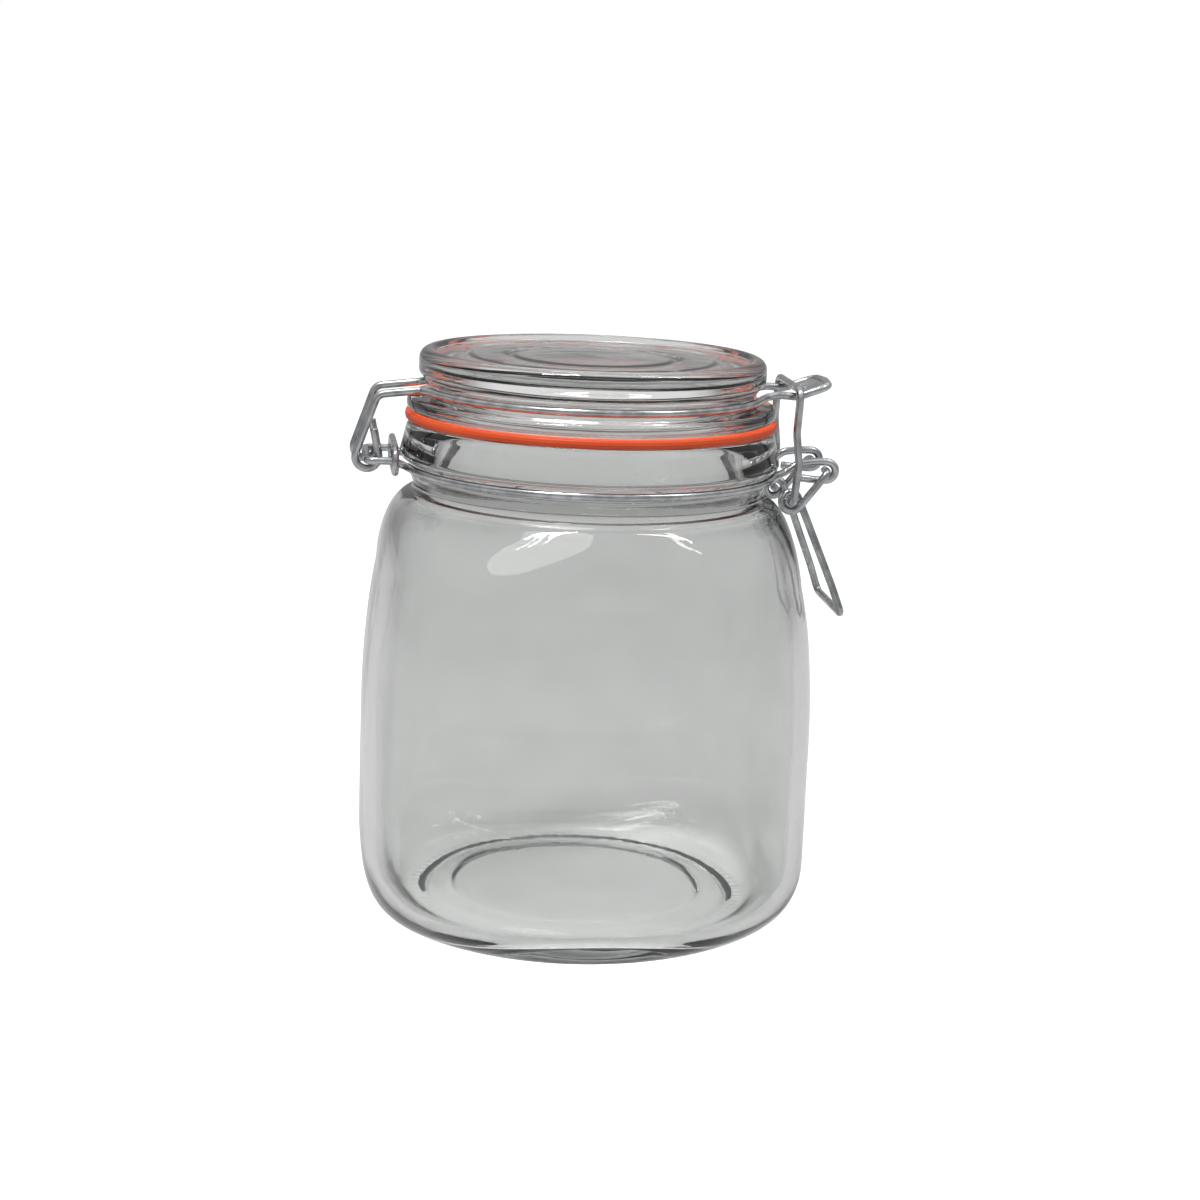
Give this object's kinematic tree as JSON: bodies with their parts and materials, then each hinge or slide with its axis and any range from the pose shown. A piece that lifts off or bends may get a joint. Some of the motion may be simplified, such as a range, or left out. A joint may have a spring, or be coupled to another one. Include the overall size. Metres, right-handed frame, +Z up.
{
  "type": "bail clamp jar",
  "caption": "Square-shouldered clear glass storage jar with a hinged glass lid, an orange rubber seal and a wire bail clamp.",
  "frame": {"origin": "the centre of the jar's flat foot, on the jar's own axis, on the surface that it stands on", "axes": "+Z up along the jar's axis, +X towards the latch, -X towards the hinge, +Y along the hinge's crossbar"},
  "size_m": [0.1274, 0.1142, 0.1472],
  "materials": {
    "clear_glass": "clear soda-lime glass, blown and pressed, fire-polished",
    "orange_rubber": "moulded orange natural rubber, satin",
    "zinc_wire": "bright zinc-plated drawn steel wire",
    "zinc_plate": "bright zinc-plated pressed steel"
  },
  "bodies": {
    "jar": {"glass_jar": "clear_glass", "band_wire": "zinc_wire", "band_clip": "zinc_wire"},
    "lid": {"glass_lid": "clear_glass", "seal_ring": "orange_rubber", "lid_wire": "zinc_wire", "nose_plate": "zinc_plate"},
    "lever": {"latch_lever": "zinc_wire"},
    "bail": {"latch_bail": "zinc_wire"}
  },
  "joints": [
    {"name": "lid_hinge", "type": "hinge", "parent": "jar", "child": "lid", "pos_m": [-0.0573, 0, 0.1198], "axis": [0, -1, 0], "range_deg": [0, 175]},
    {"name": "lever_pivot", "type": "hinge", "parent": "jar", "child": "lever", "pos_m": [0.06, 0, 0.1192], "axis": [0, -1, 0], "range_deg": [0, 100]},
    {"name": "bail_pivot", "type": "hinge", "parent": "lever", "child": "bail", "pos_m": [0.0509, 0, 0.1113], "axis": [0, -1, 0], "range_deg": [-131, 0]}
  ],
  "couplings": [
    {"joint": "lever_pivot", "follows": "lid_hinge", "ratio": 0.5714},
    {"joint": "bail_pivot", "follows": "lid_hinge", "ratio": -0.743}
  ]
}
